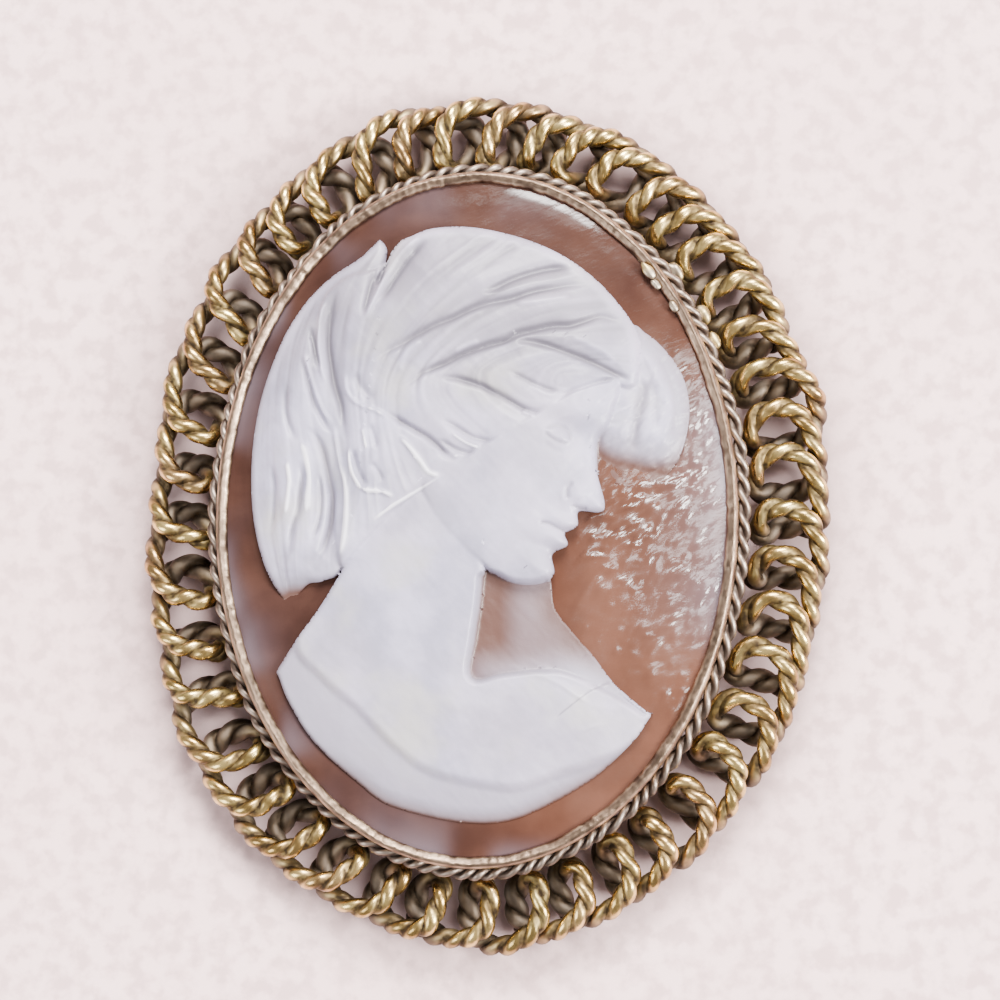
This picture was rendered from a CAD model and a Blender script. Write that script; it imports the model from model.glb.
"""Looks of an oval cameo brooch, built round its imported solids.

Lengths below are in millimetres in the part's own frame, and MM turns them into metres.
"""

import math

import bpy
import numpy as np
from mathutils import Matrix, Vector


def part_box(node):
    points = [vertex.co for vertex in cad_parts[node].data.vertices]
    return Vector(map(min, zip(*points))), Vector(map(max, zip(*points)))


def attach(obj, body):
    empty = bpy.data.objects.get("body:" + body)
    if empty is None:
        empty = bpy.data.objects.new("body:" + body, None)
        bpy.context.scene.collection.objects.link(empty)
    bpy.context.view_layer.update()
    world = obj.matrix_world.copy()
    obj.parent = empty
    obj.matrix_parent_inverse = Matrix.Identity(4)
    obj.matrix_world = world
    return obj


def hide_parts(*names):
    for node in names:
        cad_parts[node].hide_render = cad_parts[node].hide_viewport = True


MM = 0.001

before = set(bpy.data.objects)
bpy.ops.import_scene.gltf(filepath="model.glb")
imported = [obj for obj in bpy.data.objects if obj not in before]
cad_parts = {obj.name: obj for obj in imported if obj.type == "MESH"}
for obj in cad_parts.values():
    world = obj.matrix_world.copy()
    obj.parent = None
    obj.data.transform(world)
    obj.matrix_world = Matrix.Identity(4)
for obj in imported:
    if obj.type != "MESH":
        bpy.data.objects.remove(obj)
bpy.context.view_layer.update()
ground_box = [np.array(corner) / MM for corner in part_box("shell_ground")]

# Shell, as in the part's source
HALF_W = (ground_box[1][0] - ground_box[0][0]) / 2
HALF_L = (ground_box[1][1] - ground_box[0][1]) / 2
SHELL_Z = ground_box[0][2]
SHELL_EDGE = 2.4
EDGE_Z = SHELL_Z + SHELL_EDGE
DOME_RISE = ground_box[1][2] - EDGE_Z
DOME_R = 2.0
GAP = 0.05

# Bezel and the small wire round its wall
WALL_T = 0.3
LIP_W = 0.25
LIP_T = 0.35
SEAT_W = 1.2
SEAT_T = 0.4
ROPE_D = 0.75
LIP_Z = EDGE_Z + 2 * GAP
WALL_TOP = LIP_Z + LIP_T
SEAT_Z = SHELL_Z - GAP
RIM_Z = SEAT_Z - SEAT_T

# Coil border
TURNS = 44
WIRE_D = 1.0
COIL_REACH = 1.78
COIL_RISE = 0.95
COIL_START = 0.45
COIL_SQUARE = 0.65
COIL_FLAT = 0.8
PITCH_SWELL = 0.1
SWELL_AT = 0.68
COIL_Z = RIM_Z + WIRE_D / 5
COIL_MID = GAP + WALL_T - WIRE_D / 6 + WIRE_D / 2 + COIL_REACH
ROPE_Z = LIP_Z - 1.5 * ROPE_D

# Camera that the photograph was taken with, fitted to the bezel's oval and the coil's outline
TARGET_Z = 2.534
CAMERA_D = 135.0
CAMERA_TILT = 7.135
CAMERA_TURN = 55.99
CAMERA_ROLL = 0.62
PX_PER_MM = 19.0
PHOTO_PX = 1000
SHIFT_X_PX = -21.033
SHIFT_Y_PX = 20.127
SENSOR = 36.0


def add_object(name, data):
    thing = bpy.data.objects.new(name, data)
    bpy.context.scene.collection.objects.link(thing)
    return thing


def unit(v):
    return v / np.linalg.norm(v, axis=-1, keepdims=True)


# Camera

def camera_axes():
    """Place, right, up and forward of the camera."""
    tilt, turn, roll = np.radians([CAMERA_TILT, CAMERA_TURN, CAMERA_ROLL])
    away = np.array([np.sin(tilt) * np.sin(turn), -np.sin(tilt) * np.cos(turn), np.cos(tilt)])
    target = np.array([0.0, 0.0, TARGET_Z])
    place = target + CAMERA_D * away
    right = unit(np.cross(-away, [0.0, 1.0, 0.0]))
    up = np.cross(right, -away)
    c, s = np.cos(roll), np.sin(roll)
    return place, c * right + s * up, c * up - s * right, -away


def add_camera():
    place, right, up, ahead = camera_axes()
    data = bpy.data.cameras.new("camera")
    data.sensor_width = SENSOR
    data.lens = SENSOR * CAMERA_D * PX_PER_MM / PHOTO_PX
    data.shift_x = -SHIFT_X_PX / PHOTO_PX
    data.shift_y = SHIFT_Y_PX / PHOTO_PX
    data.clip_start = 0.005
    data.clip_end = 5.0
    camera = add_object("camera", data)
    turn = Matrix([right, up, -ahead]).transposed().to_4x4()
    camera.matrix_world = Matrix.Translation(Vector(place * MM)) @ turn
    bpy.context.scene.camera = camera


def on_height(px, z):
    """Points of the part at height z that the photograph shows at these pixels."""
    place, right, up, ahead = camera_axes()
    px = np.atleast_2d(np.asarray(px, float))
    focal = CAMERA_D * PX_PER_MM
    ray = (
        ahead
        + right * ((px[:, :1] - PHOTO_PX / 2 - SHIFT_X_PX) / focal)
        - up * ((px[:, 1:2] - PHOTO_PX / 2 - SHIFT_Y_PX) / focal)
    )
    reach = (z - place[2]) / ray[:, 2]
    return (place + reach[:, None] * ray)[:, :2]


# Curves, noise and meshes

def smooth(points, k, closed):
    """A Catmull-Rom curve through points, with k steps on each stretch."""
    p = np.asarray(points, float)
    n = len(p)
    at = np.arange(n if closed else n - 1) + [[-1], [0], [1], [2]]
    a, b, c, d = p[at % n if closed else np.clip(at, 0, n - 1)][:, :, None]
    t = (np.arange(k) / k)[None, :, None]
    out = 0.5 * (2 * b + (c - a) * t + (2 * a - 5 * b + 4 * c - d) * t**2 + (3 * b - a - 3 * c + d) * t**3)
    out = out.reshape(-1, p.shape[1])
    return out if closed else np.vstack([out, p[-1]])


def ramp(x, low, high):
    """0 below low, 1 above high, and smooth between."""
    t = np.clip((x - low) / (high - low), 0, 1)
    return t * t * (3 - 2 * t)


def bell(x, middle, width):
    """1 at the middle, falling smoothly to 0 on both sides."""
    return np.exp(-(((x - middle) / width) ** 2))


def wave(t, low, high, seed):
    """A smooth closed random wave of about unit size over t in turns, with low to high waves on the loop."""
    r = np.random.default_rng(seed)
    counts = np.arange(low, high + 1)
    sizes = r.normal(size=len(counts)) / math.sqrt(len(counts))
    shifts = r.uniform(0, 2 * np.pi, len(counts))
    return (sizes * np.cos(2 * np.pi * np.multiply.outer(t, counts) + shifts)).sum(-1) * math.sqrt(2)


def value_noise(x, y, seed):
    """Smooth noise from -1 to 1 with cells of size 1."""
    table = np.random.default_rng(seed).uniform(-1, 1, (64, 64))
    xi, yi = np.floor(x).astype(int), np.floor(y).astype(int)
    u, v = ramp(x - xi, 0, 1), ramp(y - yi, 0, 1)
    at = lambda i, j: table[(xi + i) % 64, (yi + j) % 64]
    return (at(0, 0) * (1 - u) + at(1, 0) * u) * (1 - v) + (at(0, 1) * (1 - u) + at(1, 1) * u) * v


def fractal(x, y, seed, octaves):
    return sum(value_noise(x * 2**i, y * 2**i, seed + i) / 2**i for i in range(octaves))


def make_piece(name, points, faces, material, node, values=None):
    """A mesh from points in millimetres, riding on the only body and standing for a node."""
    mesh = bpy.data.meshes.new(name)
    points = np.asarray(points, np.float32) * MM
    sizes = np.array([len(face) for face in faces])
    corners = np.concatenate(faces)
    mesh.vertices.add(len(points))
    mesh.vertices.foreach_set("co", points.ravel())
    mesh.loops.add(len(corners))
    mesh.loops.foreach_set("vertex_index", corners.astype(np.int32))
    mesh.polygons.add(len(sizes))
    mesh.polygons.foreach_set("loop_start", np.concatenate([[0], np.cumsum(sizes)[:-1]]).astype(np.int32))
    mesh.polygons.foreach_set("use_smooth", np.ones(len(sizes), bool))
    mesh.update(calc_edges=True)
    mesh.validate()
    for key, value in (values or {}).items():
        layer = mesh.attributes.new(key, "FLOAT", "POINT")
        layer.data.foreach_set("value", np.asarray(value, np.float32))
    mesh.materials.append(material)
    piece = add_object(name, mesh)
    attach(piece, "root")
    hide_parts(node)


def ring_faces(rows, cols, closed_rows, closed_cols):
    """Quads between rows of points. A row's points follow each other, and rows follow rows."""
    i = np.arange(rows if closed_rows else rows - 1)
    j = np.arange(cols if closed_cols else cols - 1)
    i, j = [x.ravel() for x in np.meshgrid(i, j, indexing="ij")]
    i2, j2 = (i + 1) % rows, (j + 1) % cols
    return np.stack([i * cols + j, i2 * cols + j, i2 * cols + j2, i * cols + j2], 1)


def capped_faces(rows, cols):
    """Faces of a body of closed rings, with two points after them that close its first and last ring."""
    j = np.arange(cols)
    j2 = (j + 1) % cols
    last = (rows - 1) * cols
    first_cap = np.stack([j, j2, np.full(cols, rows * cols)], 1)
    last_cap = np.stack([last + j2, last + j, np.full(cols, rows * cols + 1)], 1)
    return [*ring_faces(rows, cols, False, True), *first_cap, *last_cap]


# The oval that the bezel and the wires follow

def oval(d, t):
    """The shell's oval grown outward by d, at angle t in radians from +X."""
    c, s = np.cos(t), np.sin(t)
    away = unit(np.stack([HALF_L * c, HALF_W * s], -1))
    return np.stack([HALF_W * c, HALF_L * s], -1) + np.asarray(d)[..., None] * away


def inset(x, y):
    """Distance inward from the shell's edge, near enough."""
    return (1 - np.hypot(x / HALF_W, y / HALF_L)) * (HALF_W + HALF_L) / 2


def ground_z(x, y):
    """The plain dome of the brown layer."""
    r2 = np.minimum((x / HALF_W) ** 2 + (y / HALF_L) ** 2, 1.5)
    foot = math.sqrt(DOME_R**2 - 1)
    return EDGE_Z + DOME_RISE * (np.sqrt(DOME_R**2 - r2) - foot) / (DOME_R - foot)


LINE_T = np.pi / 2 - np.linspace(0, 2 * np.pi, 1441)
LINE = oval(COIL_MID, LINE_T)
LINE_S = np.concatenate([[0], np.cumsum(np.linalg.norm(np.diff(LINE, axis=0), axis=1))])
LINE_LENGTH = LINE_S[-1]
PITCH = LINE_LENGTH / TURNS


def line_angle(s):
    """Angle on the oval after a length s of the coil's middle line, clockwise from the top."""
    laps = np.floor(s / LINE_LENGTH)
    return np.interp(s - laps * LINE_LENGTH, LINE_S, LINE_T) - 2 * np.pi * laps


# Twisted wires

def twisted_wire(path, out, radius, offset, twists, sides, wander, swell):
    """Two strands wound round a closed path. out points away from the path's own middle."""
    n = len(path)
    ahead = unit(np.roll(path, -1, 0) - np.roll(path, 1, 0))
    u = unit(out - (out * ahead).sum(1, keepdims=True) * ahead)
    v = np.cross(ahead, u)
    share = np.arange(n) / n
    points, faces, crevice = [], [], []
    for strand in range(2):
        turn = -2 * np.pi * twists * share + np.pi * strand + wander
        away = np.cos(turn)[:, None] * u + np.sin(turn)[:, None] * v
        middle = path + offset * swell[:, None] * away
        run = unit(np.roll(middle, -1, 0) - np.roll(middle, 1, 0))
        e1 = unit(away - (away * run).sum(1, keepdims=True) * run)
        e2 = np.cross(run, e1)
        a = 2 * np.pi * np.arange(sides) / sides
        ring = np.cos(a)[None, :, None] * e1[:, None] + np.sin(a)[None, :, None] * e2[:, None]
        fat = (radius * swell * (1 + 0.05 * wave(share, 60, 160, 5 + strand)))[:, None, None]
        faces.append(ring_faces(n, sides, True, True) + sum(len(p) for p in points))
        points.append((middle[:, None] + fat * ring).reshape(-1, 3))
        crevice.append(np.tile((1 - np.cos(a)) / 2, n))
    return np.vstack(points), np.vstack(faces), np.concatenate(crevice)


# Coil as the photograph shows it: steps and twists a turn, how far its inner side stands out, one odd turn
COIL_RINGS = 72
COIL_TWISTS_A_TURN = 4.0
COIL_SIDES = 10
COIL_STRAND_R = 0.37 * WIRE_D
COIL_STRAND_OFF = 0.18 * WIRE_D
LOWER_SWELL = 0.2
SECOND_SWELL = 0.006
INNER_SHIFT = 0.6
KINK_AT = 8.3
KINK_W = 0.45
KINK = 0.6

# How far the coil's outer edge stands off the oval, in mm, at bearings clockwise from the top
EDGE_BEARINGS = [
    0, 45, 60, 90, 120, 135, 150, 180, 195, 210, 225, 240, 255, 270, 285, 300, 315, 330, 345, 360,
]
EDGE_SHIFTS = [
    0, 0.1, 0.3, 0.4, 0.35, 0.3, 0.05, 0, -0.05, 0.15, 0.4, 0.35, 0.1, -0.2, -0.05, 0.15, 0, 0.2, 0.35, 0,
]

# Lean of a turn's upper strand and its run along the outer edge, in pitches, at bearings as above
LEAN_BEARINGS = [0, 30, 60, 90, 120, 150, 180, 225, 270, 315, 360]
UPPER_LEAN = [0.42, 0.5, 0.7, 0.85, 0.75, 0.55, 0.48, 0.45, 0.42, 0.42, 0.42]
EDGE_RUN = [0.3, 0.25, 0.2, 0.2, 0.2, 0.25, 0.25, 0.4, 0.45, 0.4, 0.3]


def bend(value, power):
    """A share from -1 to 1 bent by a power, with its sign kept."""
    return np.sign(value) * np.abs(value) ** power


def coil_path():
    """Centre of the coil's wire in even steps, and the way out of each turn."""
    k = np.arange(TURNS * 360) / 360
    lap = k / TURNS
    a = 2 * np.pi * k
    kink = bell(k, KINK_AT, KINK_W)
    reach = COIL_REACH * (1 + 0.03 * wave(lap, 3, 40, 21))
    rise = COIL_RISE * (1 + 0.04 * wave(lap, 3, 40, 22))
    along = lap + PITCH_SWELL / (2 * np.pi) * np.sin(2 * np.pi * (lap - SWELL_AT))
    along = along + SECOND_SWELL * np.sin(4 * np.pi * (lap - 0.25))
    bearing = np.degrees(np.pi / 2 - line_angle(LINE_LENGTH * along)) % 360
    upper = np.interp(bearing, LEAN_BEARINGS, UPPER_LEAN) + 0.06 * wave(lap, 3, 40, 23)
    run = np.interp(bearing, LEAN_BEARINGS, EDGE_RUN) * (1 - np.cos(a)) / 2
    lean = 0.5 * np.sin(a) + (upper - 0.5) * np.sin(a) ** 2
    shift = COIL_START + run - lean + 0.04 * wave(lap, 6, 60, 24)
    s = LINE_LENGTH * along + shift * PITCH
    t = line_angle(s)
    across = -bend(np.cos(a), COIL_SQUARE)
    bearing = np.degrees(np.pi / 2 - t) % 360
    edge = np.interp(bearing, EDGE_BEARINGS, EDGE_SHIFTS)
    outer = (1 + across) / 2
    outward = edge + 0.08 * wave(lap, 20, 60, 25) + KINK * kink
    across = reach * across + outer * outward + (1 - outer) * INNER_SHIFT
    up = bend(np.sin(a), COIL_FLAT)
    xy = oval(COIL_MID + across, t)
    z = COIL_Z + rise * up + 0.04 * wave(lap, 3, 20, 26)
    n = oval(COIL_MID + 1, t) - oval(COIL_MID, t)
    out = np.stack([-n[:, 0] * np.cos(a), -n[:, 1] * np.cos(a), np.sin(a)], 1)
    path = np.column_stack([xy, z])
    steps = np.linalg.norm(np.roll(path, -1, 0) - path, axis=1)
    way = np.concatenate([[0], np.cumsum(steps)])
    even = np.arange(TURNS * COIL_RINGS) * way[-1] / (TURNS * COIL_RINGS)
    rows = np.column_stack([path, out])
    rows = np.vstack([rows, rows[:1]])
    rows = np.column_stack([np.interp(even, way, rows[:, i]) for i in range(6)])
    return rows[:, :3], rows[:, 3:]


def add_coil(material):
    path, out = coil_path()
    k = np.arange(TURNS * COIL_RINGS) / COIL_RINGS
    twists = TURNS * COIL_TWISTS_A_TURN
    wander = 0.5 * wave(k / TURNS, 10, 60, 31)
    swell = 1 + LOWER_SWELL * ramp(-path[:, 2], -COIL_Z, -COIL_Z + 0.8)
    strands = (COIL_STRAND_R, COIL_STRAND_OFF, twists, COIL_SIDES)
    points, faces, crevice = twisted_wire(path, out, *strands, wander, swell)
    low = ramp(-points[:, 2], -COIL_Z - 1.15, -COIL_Z + 0.35)
    tint = np.repeat(np.tile(value_noise(3.1 * k, 0.6 * k, 32), 2), COIL_SIDES)
    values = {"crevice": crevice, "low": low, "copper": ramp(tint, -0.1, 1.1), "green": ramp(-tint, 0.0, 1.3)}
    make_piece("coil", points, faces, material, "setting", values)


# Small wire round the wall. At the upper right, in degrees clockwise from the top, it is pushed in and up.
ROPE_RINGS = 1500
ROPE_TWISTS = 53
ROPE_SIDES = 10
ROPE_STRAND_R = 0.27 * ROPE_D
ROPE_STRAND_OFF = 0.23 * ROPE_D
LIFTED_AT = 36
LIFTED_W = 17
PUSHED_IN = 0.22
PUSHED_UP = 0.75


def add_rope(material):
    lap = np.arange(ROPE_RINGS) / ROPE_RINGS
    t = np.pi / 2 - 2 * np.pi * lap
    lifted = bell(360 * lap, LIFTED_AT, LIFTED_W)
    middle = GAP + WALL_T + ROPE_D / 2 - ROPE_D / 8 - PUSHED_IN * lifted
    xy = oval(middle + 0.04 * wave(lap, 3, 14, 41), t)
    z = ROPE_Z + 0.05 * wave(lap, 2, 12, 42) + PUSHED_UP * lifted
    out = np.column_stack([oval(middle + 1, t) - oval(middle, t), np.zeros(ROPE_RINGS)])
    wander = 0.4 * wave(lap, 5, 30, 43)
    path, swell = np.column_stack([xy, z]), np.ones(ROPE_RINGS)
    strands = (ROPE_STRAND_R, ROPE_STRAND_OFF, ROPE_TWISTS, ROPE_SIDES)
    points, faces, crevice = twisted_wire(path, out, *strands, wander, swell)
    make_piece("foot_wire", points, faces, material, "setting", {"crevice": crevice})


# Solder: pixel of the photograph, height, size along and across in mm
SOLDER = [
    ((648, 271), WALL_TOP - 0.02, 0.55, 0.26), ((656, 284), WALL_TOP - 0.04, 0.32, 0.2),
    ((673, 306), WALL_TOP - 0.04, 0.38, 0.2), ((675, 271), ROPE_Z - 0.1, 0.6, 0.4),
    ((702, 314), ROPE_Z - 0.1, 0.55, 0.4), ((714, 342), ROPE_Z - 0.1, 0.5, 0.35),
]
BLOB_STEPS = 24


def add_solder(material):
    """Lumpy drops of solder, lying along the oval."""
    points, faces = [], []
    up = np.linspace(0, np.pi, BLOB_STEPS // 2 + 1)[1:-1]
    a, b = np.meshgrid(up, 2 * np.pi * np.arange(BLOB_STEPS) / BLOB_STEPS, indexing="ij")
    ball = np.stack([np.sin(a) * np.cos(b), np.sin(a) * np.sin(b), np.cos(a)], -1).reshape(-1, 3)
    ball = np.vstack([ball, [[0, 0, 1], [0, 0, -1]]])
    for n, (pixel, z, length, width) in enumerate(SOLDER):
        place = on_height([pixel], z)[0]
        way = math.atan2(place[1] / HALF_L**2, place[0] / HALF_W**2) + math.pi / 2
        lumpy = 1 + 0.22 * value_noise(1.3 * ball[:, 0] + 5.3 * n, 1.3 * ball[:, 1] + 0.7 * ball[:, 2], 45)
        p = ball * lumpy[:, None] * (length, width, 0.7 * width)
        x = p[:, 0] * math.cos(way) - p[:, 1] * math.sin(way)
        y = p[:, 0] * math.sin(way) + p[:, 1] * math.cos(way)
        faces += [face + len(ball) * n for face in capped_faces(len(up), BLOB_STEPS)]
        points.append(np.column_stack([place[0] + x, place[1] + y, z + p[:, 2]]))
    make_piece("solder", np.vstack(points), faces, material, "setting")


# Bezel

BEZEL_STEPS = 1080


def add_bezel(material):
    inner, outer = GAP, GAP + WALL_T
    section = [
        (outer, RIM_Z), (outer, SEAT_Z), (outer, ROPE_Z), (outer, LIP_Z - 0.2), (outer, LIP_Z + 0.02),
        (outer - 0.03, WALL_TOP - 0.2), (outer - 0.09, WALL_TOP - 0.09), (outer - 0.17, WALL_TOP - 0.02),
        (outer - 0.26, WALL_TOP), (0.03, WALL_TOP - 0.03), (-0.3 * LIP_W, WALL_TOP - 0.08),
        (-0.7 * LIP_W, WALL_TOP - 0.15), (-0.95 * LIP_W, WALL_TOP - 0.23), (-LIP_W, LIP_Z + 0.07),
        (-LIP_W, LIP_Z + 0.02), (-0.5 * LIP_W, LIP_Z), (inner, LIP_Z), (inner, SEAT_Z + 1), (inner, SEAT_Z),
        (-SEAT_W, SEAT_Z), (-SEAT_W, RIM_Z),
    ]
    lap = np.arange(BEZEL_STEPS) / BEZEL_STEPS
    t = -2 * np.pi * lap
    edge = 0.02 * wave(lap, 5, 40, 51) + 0.012 * wave(lap, 60, 220, 52)
    lift = 0.02 * wave(lap, 3, 30, 53) + 0.006 * wave(lap, 60, 240, 54)
    rows = []
    for d, z in section:
        on_lip = z > LIP_Z + 0.05
        inward = on_lip and d < 0.05
        xy = oval(np.full(BEZEL_STEPS, d) + (edge if inward else 0.3 * edge * on_lip), t)
        rows.append(np.column_stack([xy, np.full(BEZEL_STEPS, z) + lift * on_lip]))
    points = np.stack(rows, 1).reshape(-1, 3)
    faces = ring_faces(BEZEL_STEPS, len(section), True, True)
    out = np.array([d for d, z in section])
    worn = ramp(0.1 - abs(out + 0.8 * LIP_W), 0.0, 0.1) + 0.6 * ramp(0.1 - abs(out - outer + 0.06), 0.0, 0.1)
    worn = np.tile(worn, BEZEL_STEPS) * np.repeat(0.6 + 0.4 * wave(lap, 10, 90, 55), len(section))
    make_piece("bezel", points, faces, material, "setting", {"worn": np.clip(worn, 0, 1)})


# Shell

GROUND_RINGS = 110
GROUND_STEPS = 780
BACK_W = 0.86


def graver_strokes():
    """Places, directions, sizes and heights of the short strokes at the right, rising to the right."""
    rng = np.random.default_rng(62)
    strokes = []
    while len(strokes) < STROKES:
        x, y = rng.uniform(3.0, 12.4), rng.uniform(-11.0, 9.5)
        keep = ramp(x + 0.15 * y, 4.0, 9.5) * ramp(y, -12.0, -6.0) * ramp(-y, -10.0, -5.0)
        band = math.exp(-(((y - 0.9 * x + 7.2) / 2.2) ** 2))
        if rng.uniform() < 0.75 * keep + 0.25 * band * ramp(x, 5.0, 8.0):
            height = rng.uniform(0.03, 0.08) * (0.7 + 0.6 * band) * rng.choice([1, 1, -0.8])
            turn = math.radians(rng.normal(42, 12))
            strokes.append((x, y, turn, rng.uniform(0.2, 0.5), rng.uniform(0.07, 0.13), height))
    strokes.append(LONG_STROKE)
    for place, turn, length, width in PLAIN_STROKES:
        x, y = on_height([place], EDGE_Z + 1.0)[0]
        strokes.append((x, y, math.radians(turn), length, width, 0.09))
    return strokes


# Single strokes that stand out: pixels of the photograph, direction, length and width
PLAIN_STROKES = [
    ((603, 590), 40, 0.45, 0.2), ((620, 582), 30, 0.4, 0.14), ((668, 607), 35, 0.6, 0.15),
    ((676, 616), 38, 0.5, 0.13), ((664, 627), 30, 0.4, 0.12), ((655, 645), 40, 0.5, 0.14),
    ((651, 675), 25, 0.35, 0.14), ((665, 694), 45, 0.25, 0.14), ((672, 712), 42, 0.5, 0.14),
    ((684, 690), 50, 0.5, 0.12), ((640, 628), 40, 0.3, 0.1), ((712, 628), 60, 0.3, 0.12),
]
LONG_STROKE = (6.0, -3.6, math.radians(57), 1.5, 0.16, 0.08)
STROKES = 620
GRAVER = graver_strokes()


def marks(x, y):
    """Tool marks of the ground in mm: strong strokes at the right and faint ones elsewhere."""
    out = 0.03 * value_noise(x / 3, y / 3, 65) + 0.006 * value_noise(x / 0.9, y / 0.5, 63)
    top = ramp(y, 12.5, 14.5) * ramp(x, -2.0, 1.0)
    out = out + 0.012 * top * value_noise((x + y) / 1.2, (y - x) / 0.4, 64)
    flat_x, flat_y, total = np.ravel(x), np.ravel(y), np.zeros(np.size(x))
    at = np.nonzero(flat_x > 2.0)[0]
    px, py, part = flat_x[at], flat_y[at], np.zeros(len(at))
    for sx, sy, turn, length, width, height in GRAVER:
        near = (np.abs(px - sx) < 2 * length) & (np.abs(py - sy) < 2 * length)
        dx, dy = px[near] - sx, py[near] - sy
        u = (dx * math.cos(turn) + dy * math.sin(turn)) / length
        v = (dy * math.cos(turn) - dx * math.sin(turn)) / width + 0.5 * u * u
        part[near] += height * np.exp(-u * u - v * v)
    total[at] = part
    return out + total.reshape(np.shape(x))


def ground_surface(x, y):
    """The ground as it is carved: the dome with its marks and the soft ridge along its edge."""
    d = inset(x, y)
    return ground_z(x, y) + ramp(d, 0.2, 0.8) * marks(x, y) + 0.018 * bell(d, 1.2, 0.35)


def add_ground(material):
    """The brown plate in rings, from the middle of its hollow back round the edge to the middle in front."""
    t = 2 * np.pi * np.arange(GROUND_STEPS) / GROUND_STEPS
    shares = np.linspace(1, 1 / GROUND_RINGS, GROUND_RINGS)
    share, angle = np.meshgrid(shares, t, indexing="ij")
    x, y = HALF_W * share * np.cos(angle), HALF_L * share * np.sin(angle)
    z = ground_surface(x, y)
    front = np.column_stack([x.ravel(), y.ravel(), z.ravel()])
    back_rows = [(1.0, SHELL_Z), (BACK_W, SHELL_Z)]
    for f in (0.97, 0.9, 0.8, 0.6, 0.4, 0.2):
        back_rows.append((f * BACK_W, SHELL_Z + DOME_RISE * math.sqrt(1 - f**2)))
    back = []
    for part, height in back_rows:
        x, y = HALF_W * part * np.cos(t), HALF_L * part * np.sin(t)
        back.append(np.column_stack([x, y, np.full(len(t), height)]))
    points = np.vstack([*back[::-1], front, [[0, 0, SHELL_Z + DOME_RISE], [0, 0, ground_z(0, 0)]]])
    faces = [face[::-1] for face in capped_faces(len(back_rows) + GROUND_RINGS, GROUND_STEPS)]
    values = ground_looks(points[:, 0], points[:, 1])
    make_piece("ground", points, faces, material, "shell_ground", values)


def ground_looks(x, y):
    """Where the ground is rosy, worked with a tool, veiled in white and glossy."""
    patch = ramp(value_noise(x / 1.1, y / 1.1, 66), -0.5, 0.3)
    d = inset(x, y)
    cloud = value_noise(x / 2.2, y / 2.2, 67)
    worked = patch * ramp(x, 4.0, 8.0) * ramp(y, -9.0, -4.0) * ramp(-y, -10.0, -5.5)
    depth = np.maximum(d, 0)
    sheen = 0.75 * np.exp(-depth / 1.6) * ramp(cloud, -1.4, 0.4)
    sheen = sheen * ramp(x, 6.0, 9.0) * ramp(y, -8.0, -3.0) * ramp(-y, -8.0, -4.0)
    veil = sheen + 0.7 * np.exp(-depth / 0.9) * ramp(cloud, -0.6, 0.6) * ramp(-x, -6.0, 2.0)
    streak = bell(d, 0.45, 0.2) * ramp(x, 1.0, 2.5) * ramp(-x, -7.0, -5.5)
    gloss = np.maximum(ramp(x, 3.0, 7.0) * ramp(-y, -11.0, -7.0), streak * ramp(y, 9.0, 12.0))
    rosy = ramp(x, -2.0, 9.0) * ramp(-y, -13.0, -4.0)
    return {"rosy": rosy, "worked": worked, "veil": veil, "gloss": gloss}


# Relief: heights over the ground on a grid, cut along the outline

CELL = 0.078
SNAP = 0.6 * CELL
EDGE_D = 0.3 * CELL
SUNK = -0.03
WALL_LEVELS = (0.5, 0.0)
GRID_X = (-12.6, 12.0)
GRID_Y = (-16.6, 15.9)


def form(pixels, rise):
    """A smooth closed outline through pixels of the photograph, rise above the shell's edge."""
    return smooth(on_height(pixels, EDGE_Z + rise), 6, True)


def stroke(pixels, rise, k=6):
    """A smooth open line through pixels of the photograph, rise above the shell's edge."""
    return smooth(on_height(pixels, EDGE_Z + rise), k, False)


def near_line(x, y, line, closed=False):
    """Distance to a line, length along it and side: positive to the left of its way."""
    a = line if closed else line[:-1]
    b = np.roll(line, -1, 0) if closed else line[1:]
    best = np.full(x.shape, 1e9)
    along = np.zeros(x.shape)
    side = np.zeros(x.shape)
    start = 0.0
    for (ax, ay), (bx, by) in zip(a, b):
        ux, uy = bx - ax, by - ay
        size = ux * ux + uy * uy
        if size < 1e-12:
            continue
        qx, qy = x - ax, y - ay
        t = np.clip((qx * ux + qy * uy) / size, 0, 1)
        d = (qx - t * ux) ** 2 + (qy - t * uy) ** 2
        m = d < best
        best[m] = d[m]
        along[m] = start + t[m] * math.sqrt(size)
        side[m] = (ux * qy - uy * qx)[m]
        start += math.sqrt(size)
    return np.sqrt(best), along, np.sign(side), start


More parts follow.
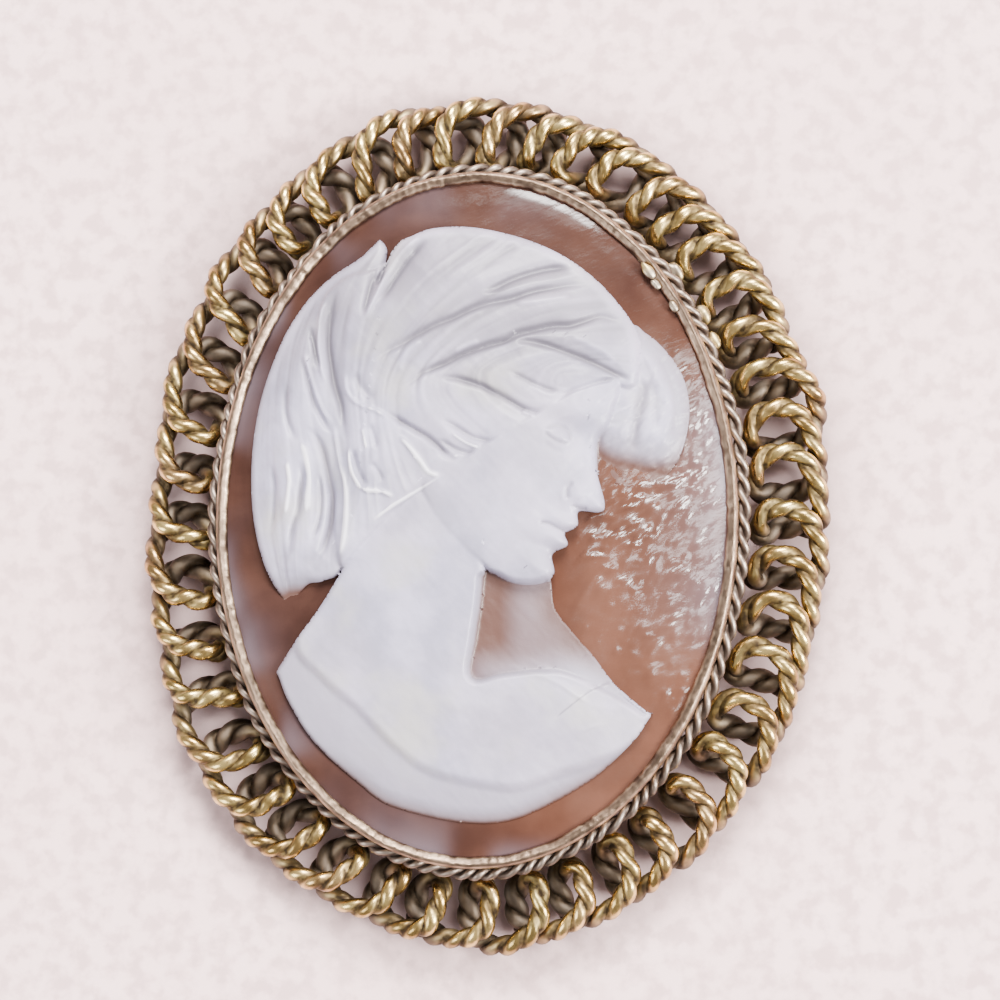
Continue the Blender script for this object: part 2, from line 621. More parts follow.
class Relief:
    """Thickness of the white layer over the ground, and the looks that go with it, on a grid."""

    def __init__(self, x, y):
        self.x, self.y = x, y
        self.thick = np.zeros(self.x.shape)
        self.shade = np.zeros(self.x.shape)
        self.outline = np.full(self.x.shape, -9.0)
        self.edges = []

    def window(self, line, margin):
        """The part of the grid within margin of a line."""
        ends = np.array([line.min(0) - margin, line.max(0) + margin]) - (GRID_X[0], GRID_Y[0])
        ends = np.clip((ends / CELL).astype(int), 0, self.x.shape)
        return tuple(slice(low, high + 1) for low, high in ends.T)

    def inside(self, loop):
        """Signed distance to a loop, positive inside, and -9 far outside."""
        out = np.full(self.x.shape, -9.0)
        w = self.window(loop, 1.0)
        x, y = self.x[w], self.y[w]
        d = near_line(x, y, loop, True)[0]
        odd = np.zeros(x.shape, bool)
        for (ax, ay), (bx, by) in zip(loop, np.roll(loop, -1, 0)):
            if ay != by:
                odd ^= ((ay > y) != (by > y)) & (x < (bx - ax) * (y - ay) / (by - ay) + ax)
        out[w] = np.where(odd, d, -d)
        return out

    def add_form(self, loop, height, blend=0.0):
        """Lays a form over what is there. height is worked out from the distance inside its outline."""
        d = self.inside(loop)
        h = np.where(d > -EDGE_D, height(np.maximum(d, 0)), -9.0)
        if blend:
            s = np.clip(0.5 + 0.5 * (h - self.thick) / blend, 0, 1)
            mixed = self.thick * (1 - s) + h * s + blend * s * (1 - s)
            self.thick = np.where(h > -1, mixed, self.thick)
        else:
            self.thick = np.maximum(self.thick, h)
        self.outline = np.maximum(self.outline, d)
        self.edges.append(d)
        return d

    def snapped(self):
        """The grid with the points beside an outline moved onto it."""
        x, y = self.x.copy(), self.y.copy()
        free = np.ones(x.shape, bool)
        for d in [self.outline] + self.edges[::-1]:
            gx, gy = np.gradient(d, CELL)
            size = np.maximum(np.hypot(gx, gy), 0.5)
            near = free & (np.abs(d) < SNAP)
            x[near] -= (d * gx / size**2)[near]
            y[near] -= (d * gy / size**2)[near]
            free &= ~near
        return x, y

    def crease(self, line, width, depth, dark, where, ends=0.15):
        """A carved groove, or a raised line where depth is negative, with tapered ends."""
        w = self.window(line, 3 * width)
        d, along, side, length = near_line(self.x[w], self.y[w], line)
        share = along / length
        groove = bell(d, 0, width) * (ramp(share, 0, ends) * ramp(1 - share, 0, ends)) * where[w]
        self.thick[w] -= depth * groove
        self.shade[w] += dark * groove

    def bump(self, place, size, height, turn):
        """A soft swelling, or a hollow where height is negative."""
        c, s = math.cos(turn), math.sin(turn)
        dx, dy = self.x - place[0], self.y - place[1]
        u, v = (c * dx + s * dy) / size[0], (c * dy - s * dx) / size[1]
        self.thick += height * np.exp(-(u * u + v * v))


def quarter(d, width):
    """A quarter round: 0 at the edge, 1 from width inwards."""
    t = 1 - np.clip(d / width, 0, 1)
    return np.sqrt(1 - t * t)


# Outlines, in pixels of the photograph. The face has its own plan further down.
# Each rise is the height over the shell's edge that the pixels of a form are taken at.

BUST_RISE = 1.73
FAR_RISE = 1.63
BUNDLE_RISE = 1.83
CAP_RISE = 2.33
LOCK_RISE = 2.23
FORELOCK_RISE = 1.53

BUST = [
    (478, 520), (484, 560), (482, 600), (476, 640), (473, 676), (505, 671), (560, 668), (612, 690),
    (645, 711), (650, 715), (646, 722), (632, 742), (592, 779), (541, 809), (502, 823), (464, 824),
    (426, 818), (382, 805), (354, 784), (311, 744), (285, 703), (275, 678), (272.5, 671.5), (277, 664),
    (291, 643), (318, 608), (342, 570), (372, 520), (420, 480),
]
BUST_INNER = [
    (319, 680), (354, 710), (375, 733), (403, 759), (433, 777), (477, 787), (515, 791), (553, 779),
    (592, 767), (640, 745), (690, 700), (600, 640), (560, 500), (400, 440), (320, 560), (290, 640),
]
FAR_SHOULDER = [
    (462, 676), (466, 630), (470, 580), (500, 568), (530, 568), (549, 576), (554, 607), (572, 632),
    (592, 655), (614, 684), (645, 711), (649, 715), (600, 740), (520, 720),
]
# Corner of the thin patch beside the neck, and the ends of its two sides
THIN_CORNER = [(478, 594), (506, 596), (480, 650)]
CAP = [
    (634, 384), (640, 352), (634, 326), (622, 306), (596, 277), (562, 252), (520, 234), (470, 223),
    (430, 224), (408, 232), (397, 237), (389, 247), (380, 262), (352, 268), (330, 280), (316, 300),
    (306, 340), (310, 400), (322, 470), (330, 530), (340, 566), (366, 541), (405, 504), (445, 477),
    (495, 441), (532, 420), (556, 405), (574, 394), (606, 384),
]
BUNDLE = [
    (384, 250), (383, 243), (377, 236), (372, 240), (362, 250), (352, 258), (330, 272), (306, 294),
    (284, 326), (268, 362), (256, 400), (249, 440), (247, 480), (250, 520), (258, 556), (270, 584),
    (284, 602), (296, 592), (306, 583), (322, 580), (342, 566), (356, 500), (370, 400), (380, 320),
    (382, 270),
]
FORELOCK = [
    (628, 326), (645, 331), (661, 344), (677, 364), (686, 385), (689, 413), (683, 445), (670, 470),
    (648, 486), (618, 484), (596, 470), (590, 430), (594, 380),
]

# Face: the same plan as in the part's source, in shares of its length: down and forward from the hairline

FACE_L = 0.73 * HALF_L
FACE_TILT = math.radians(20)
FACE_AT = np.array([0.59 * HALF_W, 0.48 * HALF_L])
PROFILE = [
    (0.1, -0.45), (0.4, -0.6), (0.7, -0.62), (0.86, -0.5), (0.97, -0.3), (1.02, -0.12), (0.99, 0),
    (0.93, 0.045), (0.86, 0.012), (0.805, 0.055), (0.765, 0.03), (0.72, 0.065), (0.665, 0.05), (0.64, 0.125),
    (0.6, 0.135), (0.48, 0.055), (0.37, 0.02), (0.3, 0.045), (0.16, 0.035), (0, 0),
]

# Soft swellings and hollows: place, size down and forward, height in mm, turn
FACE_BUMPS = [
    (0.385, -0.085, 0.085, 0.05, -0.3, 0), (0.30, -0.12, 0.14, 0.035, 0.08, 0),
    (0.41, -0.125, 0.055, 0.03, 0.17, 0), (0.56, -0.24, 0.12, 0.12, 0.1, 0),
    (0.15, -0.14, 0.16, 0.12, 0.06, 0), (0.5, -0.03, 0.028, 0.1, -0.12, -0.35),
    (0.615, 0.035, 0.03, 0.028, 0.13, 0), (0.69, -0.02, 0.05, 0.03, -0.06, 0),
    (0.73, 0.02, 0.055, 0.02, 0.1, -0.2), (0.79, 0.015, 0.045, 0.022, 0.1, 0.1),
    (0.845, -0.01, 0.06, 0.02, -0.1, 0), (0.93, -0.04, 0.07, 0.05, 0.1, 0),
]

# Carved lines: points, width and depth in mm, darkness, share of the length that tapers
FACE_LINES = [
    ([(0.425, -0.065), (0.385, -0.1), (0.382, -0.145), (0.41, -0.19)], 0.1, 0.09, 0.5, 0.15),
    ([(0.425, -0.07), (0.437, -0.105), (0.432, -0.15), (0.415, -0.185)], 0.09, 0.1, 0.6, 0.15),
    ([(0.47, -0.08), (0.475, -0.12), (0.46, -0.17)], 0.16, 0.04, 0.15, 0.15),
    ([(0.565, -0.005), (0.6, -0.018), (0.64, -0.002)], 0.12, 0.12, 0.5, 0.15),
    ([(0.655, 0.02), (0.652, 0.05), (0.645, 0.08)], 0.09, 0.1, 0.6, 0.05),
    ([(0.757, 0.06), (0.758, 0.01), (0.752, -0.04), (0.762, -0.075)], 0.09, 0.14, 0.7, 0.08),
    ([(0.64, -0.02), (0.69, -0.07), (0.74, -0.095)], 0.3, 0.05, 0.1, 0.15),
]


def on_face(down, forward):
    d, f = np.asarray(down) * FACE_L, np.asarray(forward) * FACE_L
    c, s = math.cos(FACE_TILT), math.sin(FACE_TILT)
    return np.stack([FACE_AT[0] + f * c - d * s, FACE_AT[1] - f * s - d * c], -1)


def face_line(points, closed=False):
    return smooth(on_face(*np.array(points).T), 8, closed)


def add_bust(r):
    """Bare shoulders with a flat bevel along the lower edge, and the far shoulder, thin beside the neck."""
    inner = r.inside(form(BUST_INNER, BUST_RISE))

    def bust_height(d):
        soft = 0.2 * ramp(-r.y, 10.5, 14.5) * ramp(-d, -0.9, 0.0)
        full = 0.24 - soft + 0.14 * quarter(d - 0.05, 0.25) + 0.1 * ramp(d, 0.2, 2)
        full = full + 0.3 * ramp(inner, -0.2, 0.5) + 0.2 * ramp(inner, 0.3, 4)
        return full * (1 - r.under * (1 - ramp(d, -0.05, 0.4)))

    corner, *ends = on_height(THIN_CORNER, EDGE_Z + 1.4)
    x, y = r.x - corner[0], r.y - corner[1]
    share, low = [(x * way[0] + y * way[1]) / (way @ way) for way in ends - corner]
    cover = np.maximum(ramp(share, 0.55, 1.7), ramp(low, 0.72, 1.35))
    r.full = 0.2 * cover + 0.8 * ramp(low + 0.1 * share, 1.2, 2.5)
    far = r.add_form(form(FAR_SHOULDER, FAR_RISE), lambda d: 0.025 + r.full * (0.3 + 0.3 * ramp(d, 0, 1.4)))
    r.under = ramp(far, 0.0, 0.3)
    r.add_form(form(BUST, BUST_RISE), bust_height, 0.1)


def add_face(r):
    loop = face_line(PROFILE, True)

    def face_height(d):
        full = 0.62 + 0.2 * quarter(d - 0.05, 0.3) + 0.46 * quarter(d, 3.2)
        return full * (1 - 0.85 * r.under * (1 - quarter(d, 0.35)))

    r.add_form(loop, face_height, 0.12)
    for down, forward, long, wide, height, turn in FACE_BUMPS:
        r.bump(on_face(down, forward), (long * FACE_L, wide * FACE_L), height, turn - FACE_TILT)
    on = ramp(r.inside(loop), 0.02, 0.1)
    for points, width, depth, dark, ends in FACE_LINES:
        r.crease(face_line(points), width, depth, dark, on, ends)


# Grooves between the locks, in pixels of the photograph, with width, depth and darkness

GROOVES = [
    ([(575, 264), (553, 266), (533, 271), (512, 279), (495, 288), (478, 296)], 0.17, 0.34, 0.6),
    ([(590, 283), (570, 284), (553, 287), (533, 291), (512, 298), (490, 303), (470, 310), (455, 317),
      (440, 323), (420, 333), (400, 345), (385, 353), (370, 363)], 0.18, 0.36, 0.6),
    ([(622, 320), (600, 315), (585, 320), (570, 325), (553, 326), (535, 330), (518, 334), (505, 341),
      (490, 345), (475, 350), (460, 356), (445, 364), (425, 373), (410, 384), (396, 391)], 0.17, 0.42, 0.9),
    ([(505, 341), (530, 342), (545, 345), (560, 350), (575, 355), (590, 361), (605, 368), (620, 375),
      (638, 381)], 0.15, 0.34, 0.8),
    ([(622, 374), (600, 382), (585, 388), (570, 393), (562, 400), (552, 408)], 0.14, 0.26, 0.7),
    ([(508, 371), (520, 377), (535, 384), (550, 390), (563, 391)], 0.11, 0.2, 0.5),
    ([(437, 378), (455, 379), (465, 381), (480, 386), (495, 393), (510, 401), (522, 408), (535, 412),
      (552, 408)], 0.15, 0.38, 0.9),
    ([(440, 421), (452, 425), (462, 431), (475, 438), (490, 441), (502, 439), (515, 432)], 0.12, 0.24, 0.6),
    ([(386, 412), (400, 421), (415, 430), (427, 437), (437, 445), (447, 455), (460, 462)], 0.15, 0.38, 0.9),
    ([(436, 438), (445, 443), (455, 449), (467, 453), (481, 452)], 0.11, 0.24, 0.6),
    ([(425, 236), (408, 256), (394, 276), (385, 292), (378, 302)], 0.18, 0.3, 0.6),
    ([(376, 262), (370, 280), (366, 300), (363, 318)], 0.16, 0.22, 0.4),
    ([(334, 284), (330, 305), (327, 325), (327, 345), (330, 365), (334, 385), (340, 405), (343, 425),
      (346, 442)], 0.2, 0.4, 0.7),
    ([(307, 322), (311, 340), (315, 355), (319, 372)], 0.12, 0.26, 0.5),
    ([(299, 352), (304, 372), (309, 390), (314, 405), (322, 420), (332, 436)], 0.13, 0.24, 0.45),
    ([(283, 380), (283, 408), (288, 426), (296, 442)], 0.16, 0.2, 0.4),
    ([(305, 425), (315, 436), (322, 450), (326, 468), (329, 485), (331, 497), (330, 515), (326, 535),
      (318, 555), (305, 566)], 0.18, 0.4, 0.8),
    ([(318, 468), (320, 490), (320, 505), (318, 520), (314, 532), (308, 541)], 0.12, 0.26, 0.6),
    ([(296, 458), (301, 475), (299, 495), (296, 512), (291, 528), (288, 545), (288, 556)], 0.17, 0.34, 0.7),
    ([(267, 462), (271, 480), (271, 500), (270, 518), (267, 534)], 0.14, 0.26, 0.6),
    ([(353, 448), (357, 465), (362, 478), (371, 487)], 0.12, 0.26, 0.5),
    ([(371, 424), (375, 438), (378, 450)], 0.11, 0.18, 0.3),
    ([(372, 462), (380, 474), (384, 482)], 0.12, 0.18, 0.4),
    ([(354, 372), (360, 384), (368, 394), (378, 398)], 0.26, 0.2, 0.3),
]

# Raised strands: pixels, width and height
STRANDS = [
    ([(418, 232), (400, 250), (386, 270), (378, 288), (370, 306), (364, 322)], 0.12, 0.16),
    ([(322, 298), (318, 316), (317, 335), (318, 352), (321, 370), (324, 382)], 0.12, 0.2),
    ([(302, 350), (308, 372), (314, 392), (322, 410), (332, 425)], 0.1, 0.1),
    ([(300, 438), (306, 455), (308, 475), (307, 495), (306, 515)], 0.2, 0.1),
    ([(285, 460), (288, 480), (286, 500), (284, 515)], 0.1, 0.12),
    ([(332, 420), (335, 440), (340, 465), (345, 485), (346, 505), (345, 525), (342, 545),
      (338, 560)], 0.12, 0.14),
    ([(349, 445), (350, 462), (355, 478), (365, 490), (382, 492), (396, 498)], 0.09, 0.16),
    ([(363, 428), (366, 442), (369, 450)], 0.08, 0.1),
    ([(400, 436), (412, 450), (422, 463), (430, 473), (443, 477)], 0.11, 0.16),
    ([(452, 433), (468, 444), (482, 449)], 0.09, 0.14),
    ([(432, 447), (445, 455), (452, 457), (462, 456)], 0.08, 0.08),
    ([(522, 411), (535, 416)], 0.1, 0.14),
    ([(345, 372), (346, 388), (352, 399), (362, 406), (378, 412), (390, 420)], 0.1, 0.12),
    ([(422, 340), (410, 350), (403, 362), (400, 374)], 0.15, 0.07),
    ([(372, 522), (390, 508), (410, 496), (435, 482), (462, 469)], 0.09, 0.14),
    ([(570, 337), (590, 345), (605, 353), (616, 363)], 0.15, 0.07),
    ([(515, 304), (540, 301), (572, 295)], 0.14, 0.07),
    ([(455, 353), (468, 346), (480, 342)], 0.12, 0.07),
]

# Guides that fine strands follow: pixels, from the parting side across to the hairline side
GUIDES = [
    [(262, 360), (252, 440), (256, 520), (274, 590)],
    [(300, 300), (276, 370), (280, 450), (292, 520), (290, 590)],
    [(330, 275), (306, 340), (306, 420), (322, 480), (312, 570)],
    [(400, 236), (358, 290), (346, 370), (356, 450), (344, 560)],
    [(500, 232), (430, 290), (378, 360), (372, 440), (380, 530)],
    [(580, 266), (500, 292), (430, 340), (396, 400), (420, 480), (430, 486)],
    [(622, 306), (540, 322), (450, 366), (440, 400), (480, 440)],
    [(640, 345), (560, 352), (490, 376), (520, 410), (560, 404)],
    [(640, 380), (600, 372), (560, 372), (556, 392), (600, 386)],
]

# The dark notch between the cap of hair and the bundle behind it
NOTCH = [(396, 236), (388, 252), (381, 270), (375, 286)]


def strand_noise(r):
    """Places across the hair, in mm, that stay the same along the strands."""
    across = np.zeros(r.x.shape)
    total = np.zeros(r.x.shape)
    for n, pixels in enumerate(GUIDES):
        d, along, side, length = near_line(r.x, r.y, stroke(pixels, 2.13, 4))
        weight = 1 / (d * d + 0.3) ** 1.5
        across += weight * (2.1 * n + side * np.minimum(d, 1.5))
        total += weight
    return across / total


def padded(d, low, edge, edge_w, width):
    """Height of a mass of hair: a quarter round at its edge and a soft rise towards its middle."""
    return low + edge * quarter(d - 0.05, edge_w) + 0.55 * ramp(d, 0, width)


def add_hair(r):
    """The bound-back hair: padded locks between deep grooves, with raised strands and fine lines."""
    tip = on_height([(292, 612)], EDGE_Z + 1.5)[0]
    fade = ramp(np.hypot(r.x - tip[0], r.y - tip[1]), 0.6, 2.4)
    bundle = r.add_form(form(BUNDLE, BUNDLE_RISE), lambda d: SUNK + fade * padded(d, 0.4, 0.24, 0.3, 2.0))
    cap = r.add_form(form(CAP, CAP_RISE), lambda d: padded(d, 0.66, 0.34, 0.4, 3.0))
    hair = np.maximum(cap, bundle)
    on = ramp(hair, 0.0, 0.25)
    cut = np.zeros(r.x.shape)
    for pixels, width, depth, dark in GROOVES:
        line = stroke(pixels, LOCK_RISE)
        w = r.window(line, 2.4)
        d, along, side, length = near_line(r.x[w], r.y[w], line)
        share = along / length
        taper = ramp(share, -0.02, 0.25) * ramp(1 - share, -0.02, 0.25)
        groove = bell(d, 0, width) * taper
        deep = depth * (0.6 * groove + 0.55 * np.exp(-d / 0.5) * taper)
        cut[w] = np.maximum(cut[w], deep)
        r.shade[w] += on[w] * dark * (0.6 * groove + 0.25 * np.exp(-d / 0.3) * taper)
    r.thick -= on * cut
    for pixels, width, height in STRANDS:
        r.crease(stroke(pixels, LOCK_RISE), width, -height, -0.3, on)
    across = strand_noise(r)
    fine = fractal(across / 0.3, r.y / 5 + r.x / 7, 71, 2)
    broad = value_noise(across / 1.3, r.y / 9, 75)
    on = ramp(hair, 0.1, 0.7)
    r.thick += on * (0.028 * fine + 0.06 * broad)
    r.shade += on * (0.2 * np.clip(-fine, 0, 1) - 0.1 * np.clip(fine, 0, 1))
    r.crease(stroke(NOTCH, BUNDLE_RISE), 0.13, 0.4, 1.0, ramp(hair, 0.0, 0.1))
    r.shade += 0.58 * ramp(r.y, 2, 11) * on


# Grooves in the forelock: pixels, width, depth and darkness
FORELOCK_GROOVES = [
    ([(646, 376), (641, 400), (636, 425), (631, 455)], 0.3, 0.22, 0.5),
    ([(634, 350), (648, 372), (655, 398), (654, 430)], 0.2, 0.08, 0.2),
    ([(656, 350), (668, 375), (675, 400), (674, 440)], 0.16, 0.08, 0.15),
]

# A fine scratch on the shoulder and two soft folds beside the neck
SCRATCH = [(553, 720), (574, 703), (592, 690), (612, 682)]
FOLDS = [[(505, 664), (530, 672), (560, 684), (590, 705)], [(520, 655), (545, 668), (566, 676), (600, 686)]]


def add_forelock(r):
    """The flat lock in front of the forehead, thin at its foot."""
    foot = on_height([(650, 484)], EDGE_Z + 1.5)[0]
    full = ramp((r.y - foot[1]) + 0.25 * (r.x - foot[0]), 0.3, 2.6)
    d = r.add_form(form(FORELOCK, FORELOCK_RISE), lambda d: SUNK + full * (0.3 + 0.36 * ramp(d, 0, 1.2)))
    on = ramp(d, 0, 0.3) * full
    for pixels, width, depth, dark in FORELOCK_GROOVES:
        r.crease(stroke(pixels, 1.63), width, depth, dark, on)


def relief_heights(x, y):
    r = Relief(x, y)
    add_bust(r)
    add_face(r)
    add_forelock(r)
    add_hair(r)
    r.crease(stroke(SCRATCH, 1.83), 0.06, 0.08, 0.7, np.ones(r.x.shape))
    for pixels in FOLDS:
        r.crease(stroke(pixels, 1.83), 0.12, -0.07, -0.1, r.full)
    fine = fractal((r.x + r.y) / 0.35, (r.x - r.y) / 1.5, 91, 2)
    r.thick += 0.012 * fractal(r.x / 1.1, r.y / 1.6, 81, 3) + 0.006 * fine
    return r


def add_relief(material):
    """The carved layer: cells of the snapped grid inside the outline, with walls down to the ground."""
    even = np.meshgrid(np.arange(*GRID_X, CELL), np.arange(*GRID_Y, CELL), indexing="ij")
    x, y = relief_heights(*even).snapped()
    r = relief_heights(x, y)
    thick = np.maximum(r.thick, 2 * SUNK).ravel()
    points = np.column_stack([x.ravel(), y.ravel(), ground_surface(x, y).ravel() + thick])
    total = len(points)
    quads = ring_faces(*x.shape, False, False)
    quads = quads[(r.outline.ravel() > -EDGE_D)[quads].all(1)]
    edges = np.concatenate([quads[:, [i, (i + 1) % 4]] for i in range(4)])
    rim = edges[~np.isin(edges @ [total, 1], edges @ [1, total])]
    rim_points = np.unique(rim)
    top, rim_thick = points[rim_points], thick[rim_points]
    foot = ground_surface(top[:, 0], top[:, 1])
    points, faces, thick, shade = [points], [quads], [thick], [r.shade.ravel()]
    above = np.arange(total)
    for n, level in enumerate(WALL_LEVELS):
        below = np.full(total, -1)
        below[rim_points] = total + n * len(rim_points) + np.arange(len(rim_points))
        points.append(np.column_stack([top[:, :2], foot + level * rim_thick]))
        thick.append(level * rim_thick)
        shade.append(shade[0][rim_points])
        faces.append(np.stack([above[rim[:, 0]], below[rim[:, 0]], below[rim[:, 1]], above[rim[:, 1]]], 1))
        above = below
    used, faces = np.unique(np.vstack(faces), return_inverse=True)
    points = np.vstack(points)[used]
    values = {"thick": np.concatenate(thick)[used], "shade": np.concatenate(shade)[used]}
    make_piece("relief", points, faces.reshape(-1, 4), material, "shell_relief", values)


# Materials

class Nodes:
    """A material and its node tree, with short calls to add and join nodes."""

    def __init__(self, name):
        self.material = bpy.data.materials.new(name)
        self.material.use_nodes = True
        self.tree = self.material.node_tree
        self.shader = self.tree.nodes["Principled BSDF"]

    def add(self, kind, **settings):
        node = self.tree.nodes.new(kind)
        for key, value in settings.items():
            if key.startswith("in_"):
                node.inputs[key[3:].replace("_", " ")].default_value = value
            else:
                setattr(node, key, value)
        return node

    def fill(self, socket, value):
        """Sets a socket to a number or a colour, or joins the output of another node to it."""
        if isinstance(value, tuple):
            socket.default_value = (*value, 1.0)
        elif isinstance(value, (int, float)):
            socket.default_value = value
        else:
            self.tree.links.new(value, socket)

    def attribute(self, name):
        return self.add("ShaderNodeAttribute", attribute_name=name).outputs["Fac"]

    def noise(self, scale, detail, stretch=(1, 1, 1), turn=0.0):
        place = self.add("ShaderNodeTexCoord").outputs["Object"]
        mapping = self.add("ShaderNodeMapping", vector_type="TEXTURE", in_Rotation=(0, 0, turn))
        mapping.inputs["Scale"].default_value = [1 / s for s in stretch]
        self.fill(mapping.inputs["Vector"], place)
        node = self.add("ShaderNodeTexNoise", in_Scale=scale, in_Detail=detail)
        self.fill(node.inputs["Vector"], mapping.outputs["Vector"])
        return node.outputs["Fac"]

    def remap(self, value, low, high, to_low=0.0, to_high=1.0):
        node = self.add("ShaderNodeMapRange", interpolation_type="SMOOTHSTEP")
        self.fill(node.inputs["Value"], value)
        for key, number in zip(("From Min", "From Max", "To Min", "To Max"), (low, high, to_low, to_high)):
            self.fill(node.inputs[key], number)
        return node.outputs["Result"]

    def mix(self, share, a, b):
        node = self.add("ShaderNodeMix", data_type="RGBA")
        for key, value in (("Factor", share), (6, a), (7, b)):
            self.fill(node.inputs[key], value)
        return node.outputs[2]

    def math(self, operation, a, b):
        node = self.add("ShaderNodeMath", operation=operation)
        for socket, value in zip(node.inputs, (a, b)):
            self.fill(socket, value)
        return node.outputs[0]

    def bump(self, height, distance, strength):
        node = self.add("ShaderNodeBump", in_Strength=strength, in_Distance=distance)
        self.fill(node.inputs["Height"], height)
        self.fill(self.shader.inputs["Normal"], node.outputs["Normal"])

    def set(self, **values):
        for key, value in values.items():
            self.fill(self.shader.inputs[key.replace("_", " ")], value)


# Bright, dull and dark colours of the coil's gilding and of the worn, silvery gilding of the small wire
COIL_GILT = [(0.84, 0.62, 0.23), (0.34, 0.22, 0.075), (0.044, 0.03, 0.018)]
WORN_GILT = [(0.36, 0.29, 0.235), (0.24, 0.185, 0.145), (0.07, 0.05, 0.04)]


def gilt_material(name, bright, dull, dark, recess_share, roughness):
    """Worn gilding: bright on the strands' crowns, dull between and dark in the recesses."""
    n = Nodes(name)
    blotch = n.remap(n.noise(900.0, 4.0), 0.35, 0.65)
    colour = n.mix(blotch, bright, dull)
    colour = n.mix(n.attribute("copper"), colour, n.mix(blotch, (0.76, 0.5, 0.22), (0.31, 0.185, 0.08)))
    colour = n.mix(n.attribute("green"), colour, n.mix(blotch, (0.8, 0.62, 0.25), (0.32, 0.23, 0.08)))
    low = n.math("MULTIPLY", n.attribute("low"), recess_share)
    colour = n.mix(low, colour, n.mix(blotch, (0.21, 0.162, 0.118), (0.125, 0.1, 0.077)))
    grime = n.remap(n.noise(2500.0, 3.0), 0.3, 0.7, 0.7, 1.0)
    share = n.math("MULTIPLY", n.remap(n.attribute("crevice"), 0.03, 0.36), grime)
    n.set(Base_Color=n.mix(share, colour, dark), Metallic=1.0)
    n.set(Roughness=n.remap(n.math("MAXIMUM", share, low), 0.0, 1.0, roughness, 0.6))
    n.bump(n.noise(2000.0, 2.0), 0.00004, 0.5)
    return n.material


def bezel_material():
    n = Nodes("bezel_gold")
    blotch = n.remap(n.noise(700.0, 4.0), 0.35, 0.65)
    band = n.mix(blotch, (0.23, 0.158, 0.108), (0.13, 0.09, 0.063))
    n.set(Base_Color=n.mix(n.attribute("worn"), band, (0.62, 0.46, 0.31)), Metallic=1.0)
    n.set(Roughness=n.remap(n.noise(3000.0, 3.0), 0.3, 0.7, 0.3, 0.5))
    n.bump(n.noise(5000.0, 4.0), 0.00002, 0.7)
    return n.material


def solder_material():
    """Pale solder with a yellow cast where it lies over the gilding."""
    n = Nodes("pale_solder")
    blotch = n.remap(n.noise(900.0, 3.0), 0.4, 0.6)
    n.set(Base_Color=n.mix(blotch, (0.6, 0.46, 0.2), (0.4, 0.33, 0.24)), Metallic=1.0, Roughness=0.42)
    n.bump(n.noise(2500.0, 3.0), 0.00001, 0.5)
    return n.material


def pin_material():
    """Worn gilding on a plain drawn part: fine marks along the pin and dull blotches."""
    n = Nodes("pin_gold")
    blotch = n.remap(n.noise(500.0, 4.0), 0.35, 0.65)
    n.set(Base_Color=n.mix(blotch, (0.42, 0.28, 0.12), (0.24, 0.15, 0.07)), Metallic=1.0)
    n.set(Roughness=n.remap(n.noise(1500.0, 3.0), 0.3, 0.7, 0.28, 0.5))
    n.bump(n.noise(4000.0, 3.0, (0.1, 1, 1)), 0.00001, 0.6)
    return n.material


def dress_node(node, material):
    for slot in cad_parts[node].material_slots:
        slot.material = material


def ground_material():
    """Polished brown shell, rosier where more light comes through, with faint clouds and scratches."""
    n = Nodes("brown_shell")
    cloud = n.remap(n.noise(260.0, 5.0), 0.35, 0.65)
    brown = n.mix(cloud, (0.036, 0.016, 0.012), (0.056, 0.026, 0.019))
    rose = n.mix(cloud, (0.078, 0.03, 0.017), (0.105, 0.042, 0.025))
    body = n.mix(n.attribute("rosy"), brown, rose)
    n.set(Base_Color=n.mix(n.attribute("veil"), body, (0.16, 0.135, 0.165)))
    n.set(Roughness=n.remap(n.noise(700.0, 4.0), 0.3, 0.7, 0.12, 0.24))
    n.set(Specular_IOR_Level=n.remap(n.attribute("gloss"), 0.0, 1.0, 0.03, 0.56))
    worked = n.math("MULTIPLY", n.attribute("worked"), 3.0)
    strokes = n.math("MULTIPLY", n.noise(1100.0, 4.0, (1, 2.6, 1), 0.87), worked)
    n.bump(n.math("ADD", strokes, n.noise(2200.0, 4.0, (1, 2.5, 1), 0.5)), 0.00002, 0.6)
    return n.material


def relief_material():
    """Bluish white shell that lets the brown layer through where it is thin."""
    n = Nodes("white_shell")
    n.set(Roughness=0.48, Coat_Weight=0.1, Coat_Roughness=0.2)
    cloud = n.remap(n.noise(380.0, 6.0), 0.32, 0.68)
    broad = n.remap(n.noise(110.0, 3.0), 0.35, 0.65)
    cool = n.mix(cloud, (0.275, 0.262, 0.35), (0.4, 0.375, 0.5))
    warm = n.mix(cloud, (0.31, 0.28, 0.35), (0.41, 0.37, 0.465))
    tint = n.remap(n.noise(210.0, 4.0, (1, 1, 1), 0.4), 0.5, 0.72)
    white = n.mix(tint, n.mix(broad, cool, warm), (0.4, 0.375, 0.385))
    thick = n.attribute("thick")
    thin = n.mix(n.remap(thick, 0.02, 0.2), (0.075, 0.031, 0.021), (0.16, 0.115, 0.125))
    middle = n.mix(n.remap(thick, 0.12, 0.4), thin, (0.27, 0.245, 0.305))
    body = n.mix(n.remap(thick, 0.35, 0.75), middle, white)
    shade = n.remap(n.attribute("shade"), 0.05, 1.0)
    glow = n.remap(n.math("MULTIPLY", n.attribute("shade"), -1.0), 0.02, 0.25)
    n.set(Base_Color=n.mix(shade, n.mix(glow, body, (0.72, 0.69, 0.76)), (0.15, 0.135, 0.165)))
    n.bump(n.noise(1500.0, 5.0), 0.00005, 0.6)
    return n.material


# Room, in metres

FLOOR = 0.6


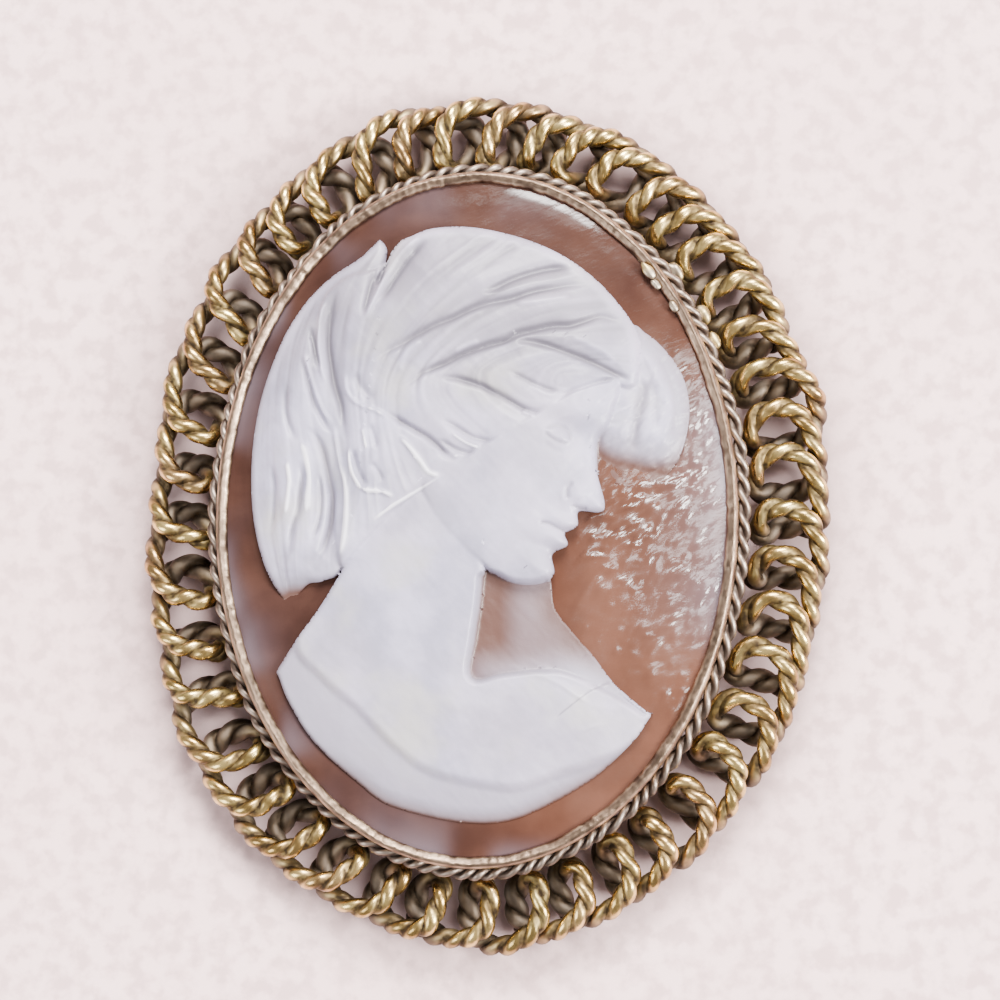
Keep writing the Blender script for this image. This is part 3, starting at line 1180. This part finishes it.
def add_floor():
    n = Nodes("floor")
    cloth = n.mix(n.remap(n.noise(60.0, 5.0), 0.3, 0.7), (0.9, 0.63, 0.615), (0.98, 0.7, 0.685))
    cloth = n.mix(n.remap(n.noise(900.0, 5.0), 0.35, 0.6), (0.7, 0.48, 0.47), cloth)
    near = n.add("ShaderNodeAmbientOcclusion", samples=8, in_Distance=0.01).outputs["AO"]
    n.set(Base_Color=n.mix(n.remap(near, 0.35, 1.0), (0.36, 0.25, 0.24), cloth), Roughness=0.9)
    n.bump(n.noise(1500.0, 4.0), 0.00005, 0.3)
    mesh = bpy.data.meshes.new("floor")
    corners = [(FLOOR * x, FLOOR * y, 0) for x, y in ((-1, -1), (1, -1), (1, 1), (-1, 1))]
    mesh.from_pydata(corners, [], [(0, 1, 2, 3)])
    mesh.materials.append(n.material)
    floor = add_object("floor", mesh)


def add_light(name, place, size, watts, colour):
    data = bpy.data.lights.new(name, "AREA")
    data.shape = "RECTANGLE"
    data.size, data.size_y = size
    data.energy = watts
    data.color = colour
    light = add_object(name, data)
    light.location = place
    light.rotation_euler = (-Vector(place)).to_track_quat("-Z", "Y").to_euler()


def add_lights():
    world = bpy.data.worlds.new("world")
    world.use_nodes = True
    world.node_tree.nodes["Background"].inputs["Color"].default_value = (1.0, 0.955, 0.97, 1.0)
    world.node_tree.nodes["Background"].inputs["Strength"].default_value = 0.67
    bpy.context.scene.world = world
    add_light("key", (0.05, 0.38, 0.42), (0.26, 0.2), 10.5, (1.0, 0.965, 0.95))
    add_light("side", (0.42, -0.09, 0.3), (0.15, 0.2), 8.5, (1.0, 0.98, 0.96))
    add_light("fill", (-0.36, -0.16, 0.3), (0.25, 0.25), 1.6, (0.96, 0.98, 1.0))
    add_light("glare", (0.215, 0.075, 0.4), (0.12, 0.2), 1.3, (0.97, 0.97, 1.0))


add_camera()
add_floor()
add_lights()
add_coil(gilt_material("coil_gilt", *COIL_GILT, 1.0, 0.25))
add_rope(gilt_material("foot_wire_gilt", *WORN_GILT, 0.0, 0.4))
add_solder(solder_material())
add_bezel(bezel_material())
add_ground(ground_material())
add_relief(relief_material())
dress_node("pin_fitting", pin_material())
